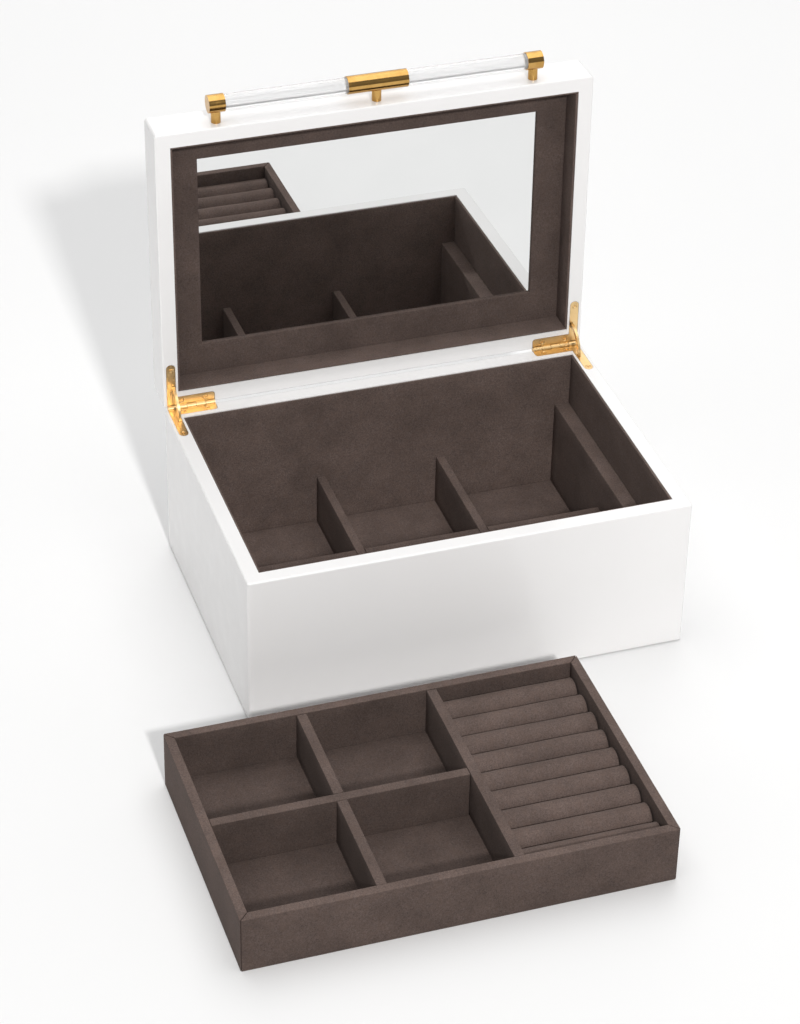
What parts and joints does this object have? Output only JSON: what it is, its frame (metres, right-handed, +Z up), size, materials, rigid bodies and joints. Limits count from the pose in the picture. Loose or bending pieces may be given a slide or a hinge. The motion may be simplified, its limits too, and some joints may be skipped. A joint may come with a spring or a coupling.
{
  "type": "jewellery box with lift-out tray",
  "caption": "Lacquered jewellery box with an open mirrored lid, bar handle, stay hinges, lined compartments and a lift-out tray of ring rolls.",
  "frame": {"origin": "centre of the box's underside, on the surface that it stands on", "axes": "+X to the right of someone facing the box's front, +Y to its rear (the hinges), +Z up; the lid is open and the tray stands in front of the box"},
  "size_m": [0.3682, 0.4568, 0.3368],
  "materials": {
    "white_lacquer": "high-gloss white lacquer over fibreboard",
    "fibreboard": "bare fibreboard, covered by felt and lining",
    "felt": "dark pressed felt",
    "lining_suede": "taupe-brown faux suede over board, short nap",
    "tray_suede": "taupe-brown faux suede over board, short nap",
    "ring_roll_suede": "taupe-brown faux suede over foam",
    "polished_brass": "polished, gold plated",
    "steel": "zinc plated machine screws, hidden",
    "clear_acrylic": "clear polished acrylic",
    "mirror": "silvered glass"
  },
  "bodies": {
    "box": {"box_front_wall": "white_lacquer", "box_rear_wall": "white_lacquer", "box_left_wall": "white_lacquer", "box_right_wall": "white_lacquer", "box_bottom_board": "fibreboard", "felt_foot": "felt", "box_floor_lining": "lining_suede", "box_front_lining": "lining_suede", "box_rear_lining": "lining_suede", "box_left_lining": "lining_suede", "box_right_lining": "lining_suede", "left_tray_ledge": "lining_suede", "right_tray_ledge": "lining_suede", "left_cross_divider": "lining_suede", "right_cross_divider": "lining_suede", "lengthwise_divider": "lining_suede", "left_hinge_box_leaf": "polished_brass", "right_hinge_box_leaf": "polished_brass", "hinge_pins": "polished_brass", "hinge_box_screws": "polished_brass"},
    "lid": {"lid_front_rail": "white_lacquer", "lid_rear_rail": "white_lacquer", "lid_left_rail": "white_lacquer", "lid_right_rail": "white_lacquer", "lid_top_panel": "white_lacquer", "lid_front_lining": "lining_suede", "lid_rear_lining": "lining_suede", "lid_left_lining": "lining_suede", "lid_right_lining": "lining_suede", "mirror_frame": "lining_suede", "mirror": "mirror", "handle_posts": "polished_brass", "handle_screws": "steel", "handle_left_cap": "polished_brass", "handle_right_cap": "polished_brass", "handle_collar": "polished_brass", "handle_rod": "clear_acrylic", "left_hinge_lid_leaf": "polished_brass", "right_hinge_lid_leaf": "polished_brass", "hinge_lid_screws": "polished_brass"},
    "left_stay": {"left_hinge_stay": "polished_brass"},
    "right_stay": {"right_hinge_stay": "polished_brass"},
    "tray": {"tray_front_wall": "tray_suede", "tray_rear_wall": "tray_suede", "tray_left_wall": "tray_suede", "tray_right_wall": "tray_suede", "tray_floor": "tray_suede", "tray_left_divider": "tray_suede", "tray_right_divider": "tray_suede", "tray_cross_divider": "tray_suede", "ring_roll_1": "ring_roll_suede", "ring_roll_2": "ring_roll_suede", "ring_roll_3": "ring_roll_suede", "ring_roll_4": "ring_roll_suede", "ring_roll_5": "ring_roll_suede", "ring_roll_6": "ring_roll_suede", "ring_roll_7": "ring_roll_suede", "ring_roll_8": "ring_roll_suede", "ring_roll_9": "ring_roll_suede"}
  },
  "joints": [
    {"name": "lid_hinge", "type": "hinge", "parent": "box", "child": "lid", "pos_m": [0, 0.1035, 0.1112], "axis": [1, 0, 0], "range_deg": [0, 91]},
    {"name": "left_stay_slide", "type": "hinge", "parent": "box", "child": "left_stay", "pos_m": [-0.1437, 0.1035, 0.1112], "axis": [1, 0, 0], "range_deg": [0, 45.5]},
    {"name": "right_stay_slide", "type": "hinge", "parent": "box", "child": "right_stay", "pos_m": [0.1437, 0.1035, 0.1112], "axis": [1, 0, 0], "range_deg": [0, 45.5]},
    {"name": "tray_lift", "type": "slide", "parent": "box", "child": "tray", "axis": [0, 0, 1], "range_m": [0, 0.13]}
  ],
  "couplings": [
    {"joint": "left_stay_slide", "follows": "lid_hinge", "ratio": 0.5},
    {"joint": "right_stay_slide", "follows": "lid_hinge", "ratio": 0.5}
  ]
}
